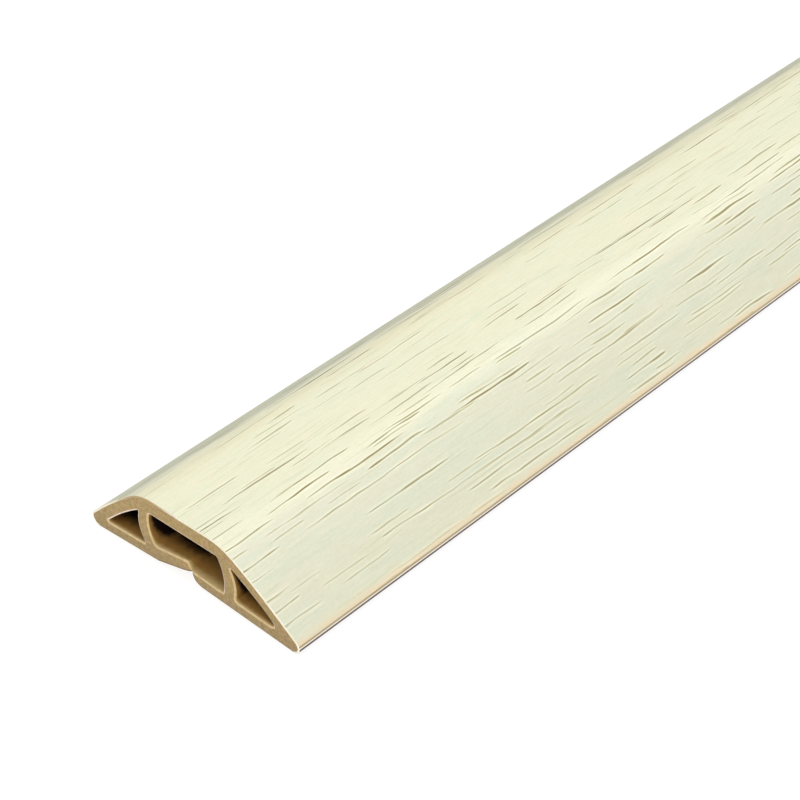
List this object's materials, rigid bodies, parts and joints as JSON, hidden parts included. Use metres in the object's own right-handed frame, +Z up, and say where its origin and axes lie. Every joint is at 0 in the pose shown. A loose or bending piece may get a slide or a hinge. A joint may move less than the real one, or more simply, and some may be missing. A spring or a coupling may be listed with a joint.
{
  "type": "floor cord cover",
  "caption": "Low domed floor cord cover of soft PVC in a pale wood-grain finish, hollow along its length, slit along its base and backed with adhesive strips.",
  "frame": {"origin": "middle of the footprint, on the floor", "axes": "+X across the width, +Y along the length and away from the cut end that the picture shows, +Z up"},
  "size_m": [0.04, 1, 0.0114],
  "materials": {
    "cover_pvc": "satin",
    "tape_adhesive": "satin",
    "liner_film": "gloss"
  },
  "bodies": {
    "root": {"cover_extrusion": "cover_pvc", "tape_right": "tape_adhesive", "tape_left": "tape_adhesive", "release_liner_right": "liner_film", "release_liner_left": "liner_film"}
  },
  "joints": []
}
